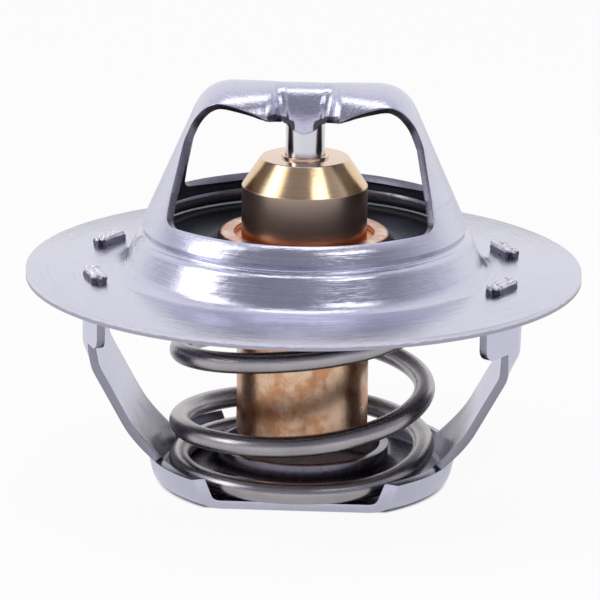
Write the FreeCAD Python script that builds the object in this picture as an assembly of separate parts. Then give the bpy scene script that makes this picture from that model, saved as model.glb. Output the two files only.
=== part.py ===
import FreeCAD, Part
import math
import os

# Wax-element valve of an engine's cooling circuit, in millimetres.
# The origin is the centre of the flange's top face. +Z runs up the axis to the bridge,
# and X runs through the two legs and the two arms of the bridge.
# The valve is modelled closed and cold: the element is up and the seal is under its seat.

V = FreeCAD.Vector

# Upper frame: one stainless pressing with the flange, the stepped seat dome and the bridge
FLANGE_R = 25.0
UPPER_SHEET = 0.70
SHOULDER_R = 15.05
SHOULDER_Z = 3.0
SHOULDER_FILLET = 0.90
FOOT_SPREAD = 1.30
FOOT_R = SHOULDER_R + FOOT_SPREAD
FOOT_FILLET = 1.0
LEDGE_STEP = 0.70
LEDGE_R = SHOULDER_R - LEDGE_STEP
LEDGE_Z = 3.35
RIM_STEP = 0.40
RIM_R = LEDGE_R - RIM_STEP
SILL_Z = 5.5
ARM_SLOPE = 0.44
BRIDGE_Z = 17.0
CROWN_CORNER = 3.6
CROWN_JOIN_Z = 12.0

# Half widths of an arm along Y at the sill, a little higher and where the crown starts
ARM_HALF_SILL = 7.2
ARM_HALF_MID = 5.65
ARM_HALF_JOIN = 3.0
ARM_MID_Z = 8.0
WINDOW_CORNER = 2.0

# Crown of the bridge: a channel folded down on both sides, pinched round the pin's head.
# Each section is an arch with a half width along Y and a drop.
NECK_HALF = 2.70
NECK_DROP = 0.35
CORNER_START_HALF = 3.10
CORNER_START_DROP = 0.55
CORNER_END_HALF = 3.60
CORNER_END_DROP = 1.50
CORNER_SECTIONS = 3
CHANNEL_X = 4.6
CHANNEL_HALF = 3.70
CHANNEL_DROP = 2.10
FOLD_X = 3.1
FOLD_HALF = 3.50
FOLD_DROP = 2.80
CREASE_X = 2.3
CREASE_HALF = 2.45
CREASE_DROP = 3.40
GRIP_HALF = 2.60
GRIP_DROP = 4.20

# The tears on both sides of the tongues
TEAR_X = 2.50
TEAR_TOP_DROP = 2.6
TEAR_HALF = 0.20
TEAR_SIDE_DROP = 2.85
TONGUE_HALF = 2.20
TONGUE_SHOULDER_DROP = 2.90
TONGUE_TIP_GAP = 0.05

# Lower frame: one stainless pressing with the base, its collar, two legs and four tabs
LOWER_SHEET = 0.75
BASE_Z = -19.7
BASE_HALF_Y = 10.56
BASE_CORNER_R = 13.40
WALL_FILLET = 0.45
WALL_TOP_Z = -17.1
WALL_TOP_R = 14.0
COLLAR_R = 7.85
COLLAR_TOP_Z = -16.4
COLLAR_FILLET = 1.3
LEG_HALF_Y = 5.35
LEG_TOP_X = 19.7
LEG_BEND_Z = -6.7
LEG_BEND_R = 2.0
LEG_FLAT_HALF = 3.6
LEG_NECK_CORNER = 0.5
WING_BEND = 0.8
WING_BOTTOM_Z = -6.2
WING_CORNER = 1.2
TAB_Y = 6.4
TAB_LENGTH = 3.6
TAB_GAP = 0.05
STAKE_LENGTH = 4.2
STAKE_WIDTH = 1.35
STAKE_HEIGHT = 0.75
STAKE_TEETH = 5
STAKE_TOOTH = 0.22

# The two legs' wings are not bent alike. Angle, end along Y and how far the punch drove the tabs' ends outwards
RIGHT_WING_ANGLE = 31.0
RIGHT_WING_END_Y = 8.5
RIGHT_STAKE_SHIFT = 0.35
LEFT_WING_ANGLE = 22.0
LEFT_WING_END_Y = 8.0
LEFT_STAKE_SHIFT = 0.10

# Wax cup: drawn copper, its wide mouth rolled over the guide's flange
CUP_WALL = 0.55
CUP_R = 5.95
CUP_BOTTOM_Z = -16.3
CUP_BOTTOM_FILLET = 1.3
HEAD_R = 7.80
HEAD_Z = 0.30
LIP_Z = 3.40
LIP_INNER_R = 6.25
LIP_FILLET = 0.6

# Brass guide, piston pin and the inner pieces of the element
GUIDE_R = 5.65
GUIDE_CONE_Z = 7.6
GUIDE_TOP_R = 3.95
GUIDE_TOP_Z = 10.2
GUIDE_FLANGE = 0.90
GUIDE_LIP_R = 2.15
GUIDE_LIP = 0.25
FLANGE_GAP = 0.05
PIN_R = 1.75
PIN_GAP = 0.05
PIN_BOTTOM_Z = -10.6
PIN_HEAD_GAP = 0.7
PIN_CHAMFER = 0.35
PIN_NOSE = 1.6
PIN_NOSE_R = 1.0
SLEEVE_R = 2.95
SLEEVE_GAP = 0.10
SLEEVE_END_GAP = 0.4
SLEEVE_END_WALL = 1.2
WASHER_R = 3.0
WASHER_THICK = 0.8

# Valve disc, its rubber seal and the spring
DISC_SHEET = 0.80
DISC_GAP = 0.5
DISC_TOP_Z = 2.30
DISC_CLEARANCE = 1.45
DISC_R = SHOULDER_R - DISC_CLEARANCE
DISC_WELL_GAP = 0.15
DISC_WELL_SPREAD = 0.45
DISC_WELL_CORNER = DISC_SHEET + 0.1
SEAL_OVERHANG = 0.70
SEAL_GRIP = 0.70
SEAL_OUT_R = DISC_R + SEAL_OVERHANG
SEAL_IN_R = DISC_R - SEAL_GRIP
SEAL_LIP = 0.30
SEAL_CHAMFER = 0.35
WIRE_R = 0.95
SPRING_R = 11.10
COIL_STEPS = 16
WIRE_SIDES = 12

# The coils' rise from seat to seat: turns from the lower tip, and the share of the height
COIL_RISE = (
    (0.30, 0.0), (0.82, 0.005), (1.05, 0.095), (1.50, 0.185), (1.75, 0.24), (2.00, 0.365),
    (2.50, 0.545), (2.75, 0.665), (3.00, 0.765), (3.30, 0.895), (3.65, 0.995), (4.25, 1.0),
)

FULL_TURN = 360.0

# How far a shape runs past the plane that trims it
SPARE = 1.0

# Rounded corners of turned pieces: sharp under the first radius, two bands from the second
SHARP_UNDER = 0.45
TWO_BANDS_FROM = 0.8

# Reach within which edges are sewn, and points on half an arch of the crown
SEW_REACH = 0.001
ARCH_STEPS = 4


def rounded_edges(points, closed, banded=False):
    """Edges in the XZ plane through (x, z) or (x, z, radius) points, with a tangent arc at each radius.

    Banded corners get one or two straight chords in the arc's place.
    """
    flat = [(V(p[0], 0, p[1]), p[2] if len(p) > 2 else 0.0) for p in points]
    count = len(flat)
    spans = []
    for i, (corner, radius) in enumerate(flat):
        at_end = not closed and i in (0, count - 1)
        if radius <= 0 or at_end:
            spans.append((corner, corner, []))
            continue
        back = (flat[i - 1][0] - corner).normalize()
        ahead = (flat[(i + 1) % count][0] - corner).normalize()
        half = back.getAngle(ahead) / 2
        reach = radius / math.tan(half)
        start = corner + back * reach
        end = corner + ahead * reach
        middle = corner + (back + ahead).normalize() * (radius / math.sin(half) - radius)
        if not banded:
            spans.append((start, end, [Part.Arc(start, middle, end).toShape()]))
        elif radius < TWO_BANDS_FROM:
            spans.append((start, end, [Part.makeLine(start, end)]))
        else:
            spans.append((start, end, [Part.makeLine(start, middle), Part.makeLine(middle, end)]))
    edges = []
    for i, (start, end, turn) in enumerate(spans):
        edges += turn
        if i == count - 1 and not closed:
            break
        following = spans[(i + 1) % count][0]
        if (following - end).Length > 1e-7:
            edges.append(Part.makeLine(end, following))
    return edges


def turned(points):
    """A solid turned about the axis from a closed outline."""
    face = Part.Face(Part.Wire(rounded_edges(points, True, True)))
    return face.revolve(V(0, 0, 0), V(0, 0, 1), FULL_TURN)


def laid(skin, thickness):
    """The closed outline of a sheet: its skin line and the same line moved to the left by the thickness."""
    lines = []
    for a, b in zip(skin, skin[1:]):
        length = math.hypot(b[0] - a[0], b[1] - a[1])
        ux, uz = (b[0] - a[0]) / length, (b[1] - a[1]) / length
        lines.append((a[0] - uz * thickness, a[1] + ux * thickness, ux, uz))
    moved = [(lines[0][0], lines[0][1])]
    for i in range(1, len(lines)):
        x0, z0, ux, uz = lines[i - 1]
        x1, z1, vx, vz = lines[i]
        turn = ux * vz - uz * vx
        along = ((x1 - x0) * vz - (z1 - z0) * vx) / turn
        radius = skin[i][2] if len(skin[i]) > 2 else 0.0
        inside = radius - thickness * math.copysign(1, turn) if radius else 0.0
        inside = inside if inside >= SHARP_UNDER else 0.0
        moved.append((x0 + ux * along, z0 + uz * along, inside))
    x1, z1, vx, vz = lines[-1]
    run = math.hypot(skin[-1][0] - skin[-2][0], skin[-1][1] - skin[-2][1])
    moved.append((x1 + vx * run, z1 + vz * run))
    return list(skin) + moved[::-1]


def pressed(skin, thickness):
    """A round pressing or drawn cup: its sheet lies on the left of the skin line, spun about the axis."""
    return turned(laid(skin, thickness))


def prism_along_x(points, x_from, x_to):
    """A closed (y, z) outline pushed along X."""
    edges = rounded_edges(points, True)
    face = Part.Face(Part.Wire(edges))
    face.rotate(V(0, 0, 0), V(0, 0, 1), 90)
    face.translate(V(x_from, 0, 0))
    return face.extrude(V(x_to - x_from, 0, 0))


def prism_along_y(edges, half):
    """A closed outline in the XZ plane pushed both ways along Y."""
    face = Part.Face(Part.Wire(edges))
    face.translate(V(0, -half, 0))
    return face.extrude(V(0, 2 * half, 0))


def both_sides(shape):
    """The shape and its copy, half a turn round the axis."""
    twin = shape.copy()
    twin.rotate(V(0, 0, 0), V(0, 0, 1), 180)
    return [shape, twin]


def one_solid(pieces):
    """The pieces of one pressing joined to one clean solid."""
    joined = pieces[0].multiFuse(pieces[1:]).removeSplitter()
    return joined.Solids[0] if len(joined.Solids) == 1 else joined


def sewn_at(height, shapes):
    """Shapes that meet face to face at a height, sewn to one solid without those faces."""
    faces = []
    for face in sum((shape.Faces for shape in shapes), []):
        box = face.BoundBox
        flat_there = max(abs(box.ZMin - height), abs(box.ZMax - height)) < SEW_REACH
        if not flat_there:
            faces.append(face)
    skin = Part.Compound(faces)
    skin.sewShape(SEW_REACH)
    return Part.Solid(skin.Shells[0])


def strip_wire(outer, inner):
    """A closed section of bent sheet between its outer and inner line of points."""
    return Part.makePolygon(outer + inner[::-1] + outer[:1])


# Where the arms' outer line meets the crown, worked out from the sill and the arm's slope
JOIN_X = RIM_R - ARM_SLOPE * (CROWN_JOIN_Z - SILL_Z)
ARM_LEAN = math.atan(ARM_SLOPE)
CORNER_X = JOIN_X - ARM_SLOPE * (BRIDGE_Z - CROWN_JOIN_Z)
CORNER_REACH = CROWN_CORNER * math.tan((math.pi / 2 - ARM_LEAN) / 2)
BEND_X = CORNER_X - CORNER_REACH
BEND_Z = BRIDGE_Z - CROWN_CORNER


def crown_section(x, z, lean, half, drop, thickness):
    """One section across the crown: an arch of the given half width and drop, square to its line."""
    sweep = min(math.pi / 2, 2 * math.atan(drop / half))
    normal = V(math.cos(lean), 0, math.sin(lean))
    outer = []
    inner = []
    for i in range(2 * ARCH_STEPS + 1):
        angle = sweep * (i / ARCH_STEPS - 1)
        across = half * math.sin(angle) / math.sin(sweep)
        down = drop * (1 - math.cos(angle)) / (1 - math.cos(sweep))
        run = half * math.cos(angle) / math.sin(sweep)
        fall = drop * math.sin(angle) / (1 - math.cos(sweep))
        length = math.hypot(run, fall)
        outer.append(V(x, across, z) - normal * down)
        inside_across = across - thickness * fall / length
        inside_down = down + thickness * run / length
        inner.append(V(x, inside_across, z) - normal * inside_down)
    return strip_wire(outer, inner)


def arm_top_section():
    """The flat cut through an arm where the crown starts: part of the dome's ring, in short arcs."""
    thick = UPPER_SHEET / math.cos(ARM_LEAN)
    sides = []
    for radius in (JOIN_X, JOIN_X - thick):
        reach = math.asin(ARM_HALF_JOIN / radius)
        marks = []
        for i in range(4 * ARCH_STEPS + 1):
            angle = reach * (i / (2 * ARCH_STEPS) - 1)
            marks.append(V(radius * math.cos(angle), radius * math.sin(angle), CROWN_JOIN_Z))
        arcs = [Part.Arc(*marks[i:i + 3]).toShape() for i in range(0, 4 * ARCH_STEPS, 2)]
        sides.append((marks, arcs))
    (outer, outer_arcs), (inner, inner_arcs) = sides
    ends = [Part.makeLine(outer[-1], inner[-1]), Part.makeLine(inner[0], outer[0])]
    return Part.Wire(outer_arcs + ends[:1] + inner_arcs[::-1] + ends[1:])


def crown():
    """The bridge's top, lofted from one arm over the pin to the other."""
    wires = [arm_top_section()]
    line_z = (CROWN_JOIN_Z + BEND_Z + CROWN_CORNER * math.sin(ARM_LEAN)) / 2
    line_x = JOIN_X - ARM_SLOPE * (line_z - CROWN_JOIN_Z)
    wires.append(crown_section(line_x, line_z, ARM_LEAN / 2, NECK_HALF, NECK_DROP, UPPER_SHEET))
    for i in range(CORNER_SECTIONS + 1):
        share = i / CORNER_SECTIONS
        lean = ARM_LEAN + (math.pi / 2 - ARM_LEAN) * share
        half = CORNER_START_HALF + (CORNER_END_HALF - CORNER_START_HALF) * share
        drop = CORNER_START_DROP + (CORNER_END_DROP - CORNER_START_DROP) * share
        x = BEND_X + CROWN_CORNER * math.cos(lean)
        z = BEND_Z + CROWN_CORNER * math.sin(lean)
        wires.append(crown_section(x, z, lean, half, drop, UPPER_SHEET))
    for x, half, drop in (
        (CHANNEL_X, CHANNEL_HALF, CHANNEL_DROP),
        (FOLD_X, FOLD_HALF, FOLD_DROP),
        (CREASE_X, CREASE_HALF, CREASE_DROP),
    ):
        wires.append(crown_section(x, BRIDGE_Z, math.pi / 2, half, drop, UPPER_SHEET))
    wires.append(crown_section(0, BRIDGE_Z, math.pi / 2, GRIP_HALF, GRIP_DROP, UPPER_SHEET))
    mirrored = []
    for wire in wires[:-1]:
        twin = wire.mirror(V(0, 0, 0), V(1, 0, 0))
        mirrored.append(twin)
    return Part.makeLoft(wires + mirrored[::-1], True, True)


def tongue_cut():
    """The outline torn out round the two tongues that grip the pin, in the XZ plane."""
    tear_z = BRIDGE_Z - TEAR_TOP_DROP
    side_z = BRIDGE_Z - TEAR_SIDE_DROP
    shoulder_z = BRIDGE_Z - TONGUE_SHOULDER_DROP
    low_z = BRIDGE_Z - GRIP_DROP - SPARE
    side_x = TEAR_X + TEAR_HALF
    tip = V(0, 0, BRIDGE_Z - GRIP_DROP + TONGUE_TIP_GAP)
    left = V(-TONGUE_HALF, 0, shoulder_z)
    right = V(TONGUE_HALF, 0, shoulder_z)
    corners = [
        right, V(TEAR_X, 0, tear_z), V(side_x, 0, side_z), V(side_x, 0, low_z),
        V(-side_x, 0, low_z), V(-side_x, 0, side_z), V(-TEAR_X, 0, tear_z), left,
    ]
    edges = [Part.makeLine(a, b) for a, b in zip(corners, corners[1:])]
    edges.append(Part.Arc(left, tip, right).toShape())
    return prism_along_y(edges, CHANNEL_HALF * 2)


def window():
    """The outline of one window of the dome, pushed through along X."""
    far = FLANGE_R
    points = [
        (far, SILL_Z),
        (ARM_HALF_SILL, SILL_Z, WINDOW_CORNER),
        (ARM_HALF_MID, ARM_MID_Z, WINDOW_CORNER * 2),
        (ARM_HALF_JOIN, CROWN_JOIN_Z),
        (ARM_HALF_JOIN, CROWN_JOIN_Z + SPARE),
        (far, CROWN_JOIN_Z + SPARE),
    ]
    return prism_along_x(points, -far, far)


def turned_by(shape, angle):
    """A copy of the shape, turned round the axis."""
    copy = shape.copy()
    copy.rotate(V(0, 0, 0), V(0, 0, 1), angle)
    return copy


# Each leg's place round the axis, the angle and end of its wings and the shift of its tabs' staked ends
LEGS = (
    (0.0, RIGHT_WING_ANGLE, RIGHT_WING_END_Y, RIGHT_STAKE_SHIFT),
    (180.0, LEFT_WING_ANGLE, LEFT_WING_END_Y, LEFT_STAKE_SHIFT),
)


def tab_place(shape, side, wing_angle, shift=0.0):
    """Moves a shape from the axis to one tab of the leg on +X, in line with its wing."""
    x = leg_skin_x(0.0, side * TAB_Y, wing_angle) - LOWER_SHEET / 2 / math.cos(math.radians(wing_angle))
    moved = turned_by(shape, 90 + side * wing_angle)
    moved.translate(V(x + shift, side * TAB_Y, 0))
    return moved


def slots():
    """Room for the four tabs in the flange."""
    length = TAB_LENGTH + 2 * TAB_GAP
    width = LOWER_SHEET + 2 * TAB_GAP
    depth = 3 * UPPER_SHEET
    box = Part.makeBox(length, width, depth, V(-length / 2, -width / 2, -2 * UPPER_SHEET))
    found = []
    for place, wing_angle, _, _ in LEGS:
        for side in (-1, 1):
            found.append(turned_by(tab_place(box, side, wing_angle), place))
    return found


def upper_frame():
    skin = [
        (JOIN_X - ARM_SLOPE * SPARE, CROWN_JOIN_Z + SPARE),
        (RIM_R, SILL_Z),
        (LEDGE_R, LEDGE_Z),
        (SHOULDER_R, SHOULDER_Z, SHOULDER_FILLET),
        (FOOT_R, 0, FOOT_FILLET),
        (FLANGE_R, 0),
    ]
    dome = pressed(skin, -UPPER_SHEET)
    above = Part.makeCylinder(FLANGE_R, 2 * SPARE, V(0, 0, CROWN_JOIN_Z))
    dome = dome.cut(both_sides(window()) + [above] + slots())
    bridge = crown().cut([tongue_cut(), pin_blank()])
    return sewn_at(CROWN_JOIN_Z, [dome, bridge])


def pin_blank():
    """The pin: a ground rod with a chamfered head in the bridge and a tapered nose in the sleeve."""
    top = BRIDGE_Z - UPPER_SHEET - PIN_HEAD_GAP
    return turned([
        (0, PIN_BOTTOM_Z),
        (PIN_NOSE_R, PIN_BOTTOM_Z),
        (PIN_R, PIN_BOTTOM_Z + PIN_NOSE),
        (PIN_R, top - PIN_CHAMFER),
        (PIN_R - PIN_CHAMFER, top),
        (0, top),
    ])


# The leg's outer line in the XZ plane: a slope from the wall's top, then upright
LEG_SLOPE = (LEG_TOP_X - WALL_TOP_R) / (LEG_BEND_Z - WALL_TOP_Z)
LEG_LEAN = math.atan(LEG_SLOPE)


def leg_line(z):
    """The outer X of the leg's middle at one height, with its bend rounded, and the wall's X thickness."""
    reach = LEG_BEND_R * math.tan(LEG_LEAN / 2)
    bend_low = LEG_BEND_Z - reach * math.cos(LEG_LEAN)
    bend_high = LEG_BEND_Z + reach
    if z <= bend_low:
        return WALL_TOP_R + LEG_SLOPE * (z - WALL_TOP_Z), LOWER_SHEET / math.cos(LEG_LEAN)
    if z >= bend_high:
        return LEG_TOP_X, LOWER_SHEET
    rise = bend_high - z
    inset = LEG_BEND_R - math.sqrt(LEG_BEND_R**2 - rise**2)
    lean = math.asin(rise / LEG_BEND_R)
    return LEG_TOP_X - inset, LOWER_SHEET / math.cos(lean)


def wing_setback(y, wing_angle):
    """How far the wings swing in from the leg's outer plane at a distance from its middle line."""
    past = abs(y) - LEG_FLAT_HALF
    slope = math.tan(math.radians(wing_angle))
    if past <= -WING_BEND:
        return 0.0
    if past >= WING_BEND:
        return past * slope
    return slope * (past + WING_BEND) ** 2 / (4 * WING_BEND)


def ring_setback(y):
    """The same at the leg's root, where it follows the round wall."""
    return WALL_TOP_R - math.sqrt(WALL_TOP_R**2 - y**2)


# Where a section across half of the leg has its points, and how far its root lies inside the wall's top
LEG_MARKS = (
    0.0, LEG_FLAT_HALF - WING_BEND, LEG_FLAT_HALF, LEG_FLAT_HALF + WING_BEND, LEG_HALF_Y, RIGHT_WING_END_Y,
)
ROOT_STEP = 0.06

# Heights where the leg's section is set, with the share of the round root and of the bent wings
FLAT_FROM_Z = -13.6
WING_FROM_Z = -9.0


def wing_share(z):
    """How far the wings are bent at a height, from 0 to 1."""
    return max(0.0, min(1.0, (z - WING_FROM_Z) / (WING_BOTTOM_Z - WING_FROM_Z)))


def leg_skin_x(z, y, wing_angle):
    """The outer X of the leg at any height and distance from its middle line."""
    x, _ = leg_line(z)
    root = max(0.0, min(1.0, (FLAT_FROM_Z - z) / (FLAT_FROM_Z - WALL_TOP_Z)))
    wing = wing_share(z)
    x -= (ring_setback(y) + ROOT_STEP) * root * root
    return x - wing_setback(y, wing_angle) * wing * wing * (3 - 2 * wing)


def leg_section(z, wing_angle):
    _, thick = leg_line(z)
    if z <= WALL_TOP_Z:
        thick -= 2 * ROOT_STEP
    marks = [-y for y in LEG_MARKS[:0:-1]] + list(LEG_MARKS)
    outer = [V(leg_skin_x(z, y, wing_angle), y, z) for y in marks]
    grow = (1 / math.cos(math.radians(wing_angle)) - 1) * wing_share(z)
    inner = []
    for point in outer:
        past = min(1.0, max(0.0, (abs(point.y) - LEG_FLAT_HALF + WING_BEND) / (2 * WING_BEND)))
        inner.append(point - V(thick * (1 + grow * past), 0, 0))
    return strip_wire(outer, inner)


def leg_blank(wing_angle, wing_end_y):
    """The blank's outline for one leg, its wings and its tabs, pushed along X."""
    tab_half = TAB_LENGTH / 2 * math.cos(math.radians(wing_angle))
    under = -UPPER_SHEET
    half = [
        (LEG_HALF_Y, WALL_TOP_Z),
        (LEG_HALF_Y, WING_BOTTOM_Z, LEG_NECK_CORNER),
        (wing_end_y, WING_BOTTOM_Z, WING_CORNER),
        (wing_end_y, under),
        (TAB_Y + tab_half, under),
        (TAB_Y + tab_half, 0),
        (TAB_Y - tab_half, 0),
        (TAB_Y - tab_half, under),
    ]
    mirrored = [(-p[0],) + tuple(p[1:]) for p in half[::-1]]
    return prism_along_x(half + mirrored, CUP_R, FLANGE_R)


def leg(wing_angle, wing_end_y):
    reach = LEG_BEND_R * math.tan(LEG_LEAN / 2)
    bend_low = LEG_BEND_Z - reach * math.cos(LEG_LEAN)
    bend_high = LEG_BEND_Z + reach
    heights = [
        WALL_TOP_Z,
        (WALL_TOP_Z * 2 + FLAT_FROM_Z) / 3,
        (WALL_TOP_Z + FLAT_FROM_Z * 2) / 3,
        FLAT_FROM_Z,
        WING_FROM_Z,
        bend_low,
        (bend_low + bend_high) / 2,
        max(bend_high, WING_BOTTOM_Z),
    ]
    lower = Part.makeLoft([leg_section(z, wing_angle) for z in heights], True, True)
    head = Part.Face(leg_section(heights[-1], wing_angle)).extrude(V(0, 0, -heights[-1]))
    return lower.fuse(head).removeSplitter().common(leg_blank(wing_angle, wing_end_y))


def stake():
    """A tab's end, driven flat over the flange with a toothed punch."""
    step = STAKE_LENGTH / STAKE_TEETH
    start = -STAKE_LENGTH / 2
    low = STAKE_HEIGHT - STAKE_TOOTH
    points = [(start, 0)]
    for i in range(STAKE_TEETH):
        points.append((start + step * i, low))
        points.append((start + step * (i + 0.5), STAKE_HEIGHT))
    points += [(-start, low), (-start, 0)]
    return prism_along_y(rounded_edges(points, True), STAKE_WIDTH / 2)


def lower_frame():
    base_top = BASE_Z + LOWER_SHEET
    wall_slope = (WALL_TOP_R - BASE_CORNER_R) / (WALL_TOP_Z - BASE_Z)
    wall_in_r = WALL_TOP_R - LOWER_SHEET / math.cos(math.atan(wall_slope))
    floor_r = wall_in_r - wall_slope * (WALL_TOP_Z - base_top)
    skin = [
        (COLLAR_R, COLLAR_TOP_Z),
        (COLLAR_R, base_top, COLLAR_FILLET),
        (floor_r, base_top, WALL_FILLET),
        (wall_in_r + wall_slope * SPARE, WALL_TOP_Z + SPARE),
    ]
    dish = pressed(skin, -LOWER_SHEET)
    dish = dish.common(Part.makeBox(
        2 * FLANGE_R, 2 * BASE_HALF_Y, -BASE_Z, V(-FLANGE_R, -BASE_HALF_Y, BASE_Z - SPARE)
    ))
    above = Part.makeCylinder(FLANGE_R, 2 * SPARE, V(0, 0, WALL_TOP_Z))
    above = above.cut(Part.makeCylinder(COLLAR_R + SPARE, 2 * SPARE, V(0, 0, WALL_TOP_Z)))
    dish = dish.cut(above)
    pieces = [dish]
    for place, wing_angle, wing_end_y, shift in LEGS:
        pieces.append(turned_by(leg(wing_angle, wing_end_y), place))
        for side in (-1, 1):
            pieces.append(turned_by(tab_place(stake(), side, wing_angle, shift), place))
    return one_solid(pieces)


def wax_cup():
    skin = [
        (LIP_INNER_R, LIP_Z),
        (HEAD_R, LIP_Z, LIP_FILLET),
        (HEAD_R, HEAD_Z),
        (CUP_R, HEAD_Z),
        (CUP_R, CUP_BOTTOM_Z, CUP_BOTTOM_FILLET),
        (0, CUP_BOTTOM_Z),
    ]
    return pressed(skin, -CUP_WALL)


GUIDE_FLANGE_TOP = LIP_Z - CUP_WALL
GUIDE_FLANGE_Z = GUIDE_FLANGE_TOP - GUIDE_FLANGE
CLAMP_R = HEAD_R - CUP_WALL - FLANGE_GAP
SEAT_Z = HEAD_Z + CUP_WALL
BORE_R = PIN_R + PIN_GAP
SLEEVE_BORE_R = PIN_R + SLEEVE_GAP
SLEEVE_FLOOR_Z = PIN_BOTTOM_Z - SLEEVE_END_GAP


def brass_guide():
    pocket_z = GUIDE_FLANGE_Z + WASHER_THICK
    return turned([
        (BORE_R, pocket_z),
        (BORE_R, GUIDE_TOP_Z + GUIDE_LIP),
        (GUIDE_LIP_R, GUIDE_TOP_Z + GUIDE_LIP),
        (GUIDE_LIP_R, GUIDE_TOP_Z),
        (GUIDE_TOP_R, GUIDE_TOP_Z),
        (GUIDE_R, GUIDE_CONE_Z),
        (GUIDE_R, GUIDE_FLANGE_TOP),
        (CLAMP_R, GUIDE_FLANGE_TOP),
        (CLAMP_R, GUIDE_FLANGE_Z),
        (WASHER_R, GUIDE_FLANGE_Z),
        (WASHER_R, pocket_z),
    ])


def backup_washer():
    top = GUIDE_FLANGE_Z + WASHER_THICK
    return turned([
        (BORE_R, GUIDE_FLANGE_Z),
        (WASHER_R, GUIDE_FLANGE_Z),
        (WASHER_R, top),
        (BORE_R, top),
    ])


def rubber_sleeve():
    end = SLEEVE_FLOOR_Z - SLEEVE_END_WALL
    return turned([
        (0, SLEEVE_FLOOR_Z),
        (SLEEVE_BORE_R, SLEEVE_FLOOR_Z),
        (SLEEVE_BORE_R, GUIDE_FLANGE_Z),
        (CLAMP_R, GUIDE_FLANGE_Z),
        (CLAMP_R, SEAT_Z),
        (SLEEVE_R, SEAT_Z),
        (SLEEVE_R, end, SLEEVE_END_WALL),
        (0, end),
    ])


def wax_charge():
    floor = CUP_BOTTOM_Z + CUP_WALL
    inner_r = CUP_R - CUP_WALL
    end = SLEEVE_FLOOR_Z - SLEEVE_END_WALL
    return turned([
        (0, floor),
        (inner_r, floor, CUP_BOTTOM_FILLET - CUP_WALL),
        (inner_r, SEAT_Z),
        (SLEEVE_R, SEAT_Z),
        (SLEEVE_R, end, SLEEVE_END_WALL),
        (0, end),
    ])


def valve_disc():
    well_r = HEAD_R + DISC_WELL_GAP
    skin = [
        (DISC_R, DISC_TOP_Z),
        (well_r + DISC_WELL_SPREAD, DISC_TOP_Z, DISC_WELL_CORNER),
        (well_r, HEAD_Z),
        (CUP_R + DISC_GAP, HEAD_Z),
    ]
    return pressed(skin, DISC_SHEET)


def valve_seal():
    under = DISC_TOP_Z - DISC_SHEET
    top = DISC_TOP_Z + SEAL_LIP
    return turned([
        (SEAL_IN_R, DISC_TOP_Z),
        (SEAL_IN_R, top),
        (SEAL_OUT_R - SEAL_CHAMFER, top),
        (SEAL_OUT_R, top - SEAL_CHAMFER),
        (SEAL_OUT_R, under - SEAL_LIP),
        (SEAL_IN_R, under - SEAL_LIP),
        (SEAL_IN_R, under),
        (DISC_R, under),
        (DISC_R, DISC_TOP_Z),
    ])


def coil_height(turn):
    """The coils' height at a turn, a smooth curve through the rise's points."""
    turns = [t for t, _ in COIL_RISE]
    rises = [r for _, r in COIL_RISE]
    slopes = [(rises[i + 1] - rises[i]) / (turns[i + 1] - turns[i]) for i in range(len(turns) - 1)]
    tangents = [0.0]
    for before, after in zip(slopes, slopes[1:]):
        both = before * after
        tangents.append(2 * both / (before + after) if both > 0 else 0.0)
    tangents.append(0.0)
    i = max(k for k in range(len(slopes)) if turns[k] <= turn + 1e-9)
    width = turns[i + 1] - turns[i]
    u = (turn - turns[i]) / width
    share = (
        (1 + 2 * u) * (1 - u) ** 2 * rises[i]
        + u * (1 - u) ** 2 * width * tangents[i]
        + u * u * (3 - 2 * u) * rises[i + 1]
        - u * u * (1 - u) * width * tangents[i + 1]
    )
    low = BASE_Z + LOWER_SHEET + WIRE_R
    high = DISC_TOP_Z - DISC_SHEET - WIRE_R
    return low + (high - low) * share


def spring():
    """The return spring: round wire, closed at both ends, right-handed, as a mitred run of short lengths."""
    first = COIL_RISE[0][0]
    last = COIL_RISE[-1][0]
    count = int(round((last - first) * COIL_STEPS))
    points = []
    for i in range(count + 1):
        turn = first + (last - first) * i / count
        angle = 2 * math.pi * turn
        points.append(V(SPRING_R * math.cos(angle), SPRING_R * math.sin(angle), coil_height(turn)))
    ahead = (points[1] - points[0]).normalize()
    across = ahead.cross(V(0, 0, 1)).normalize()
    up = across.cross(ahead)
    side_angle = 2 * math.pi / WIRE_SIDES
    reach = WIRE_R * math.sqrt(side_angle / math.sin(side_angle))
    ring = []
    for k in range(WIRE_SIDES):
        angle = side_angle * (k + 0.5)
        ring.append(points[0] + across * (reach * math.cos(angle)) + up * (reach * math.sin(angle)))
    section = Part.makePolygon(ring + ring[:1])
    mitred = 1
    return Part.makePolygon(points).makePipeShell([section], True, True, mitred)


PIECES = {
    "upper_frame": upper_frame,
    "lower_frame": lower_frame,
    "piston_pin": pin_blank,
    "spring": spring,
    "valve_disc": valve_disc,
    "valve_seal": valve_seal,
    "wax_cup": wax_cup,
    "brass_guide": brass_guide,
    "rubber_sleeve": rubber_sleeve,
    "wax_charge": wax_charge,
    "backup_washer": backup_washer,
}

os.makedirs("parts", exist_ok=True)
for name, make in PIECES.items():
    shape = make()
    shape.exportStep("parts/" + name + ".step")
    print(name, shape.ShapeType, len(shape.Solids), shape.isValid(), round(shape.Volume, 2), shape.BoundBox)
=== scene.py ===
# %% [markdown]
# # An engine thermostat in Blender
#
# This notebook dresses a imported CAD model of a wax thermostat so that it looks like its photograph. Each
# cell builds one thing and prints what it made, so the cells can be read and run from top to bottom.
#
# Everything is measured in millimetres here and multiplied by `MM` when a mesh is made, because the
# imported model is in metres. The origin is the centre of the flange's top face and +Z runs up to the
# bridge.

import math

import bmesh
import bpy
import numpy as np
from mathutils import Matrix, Vector


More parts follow.
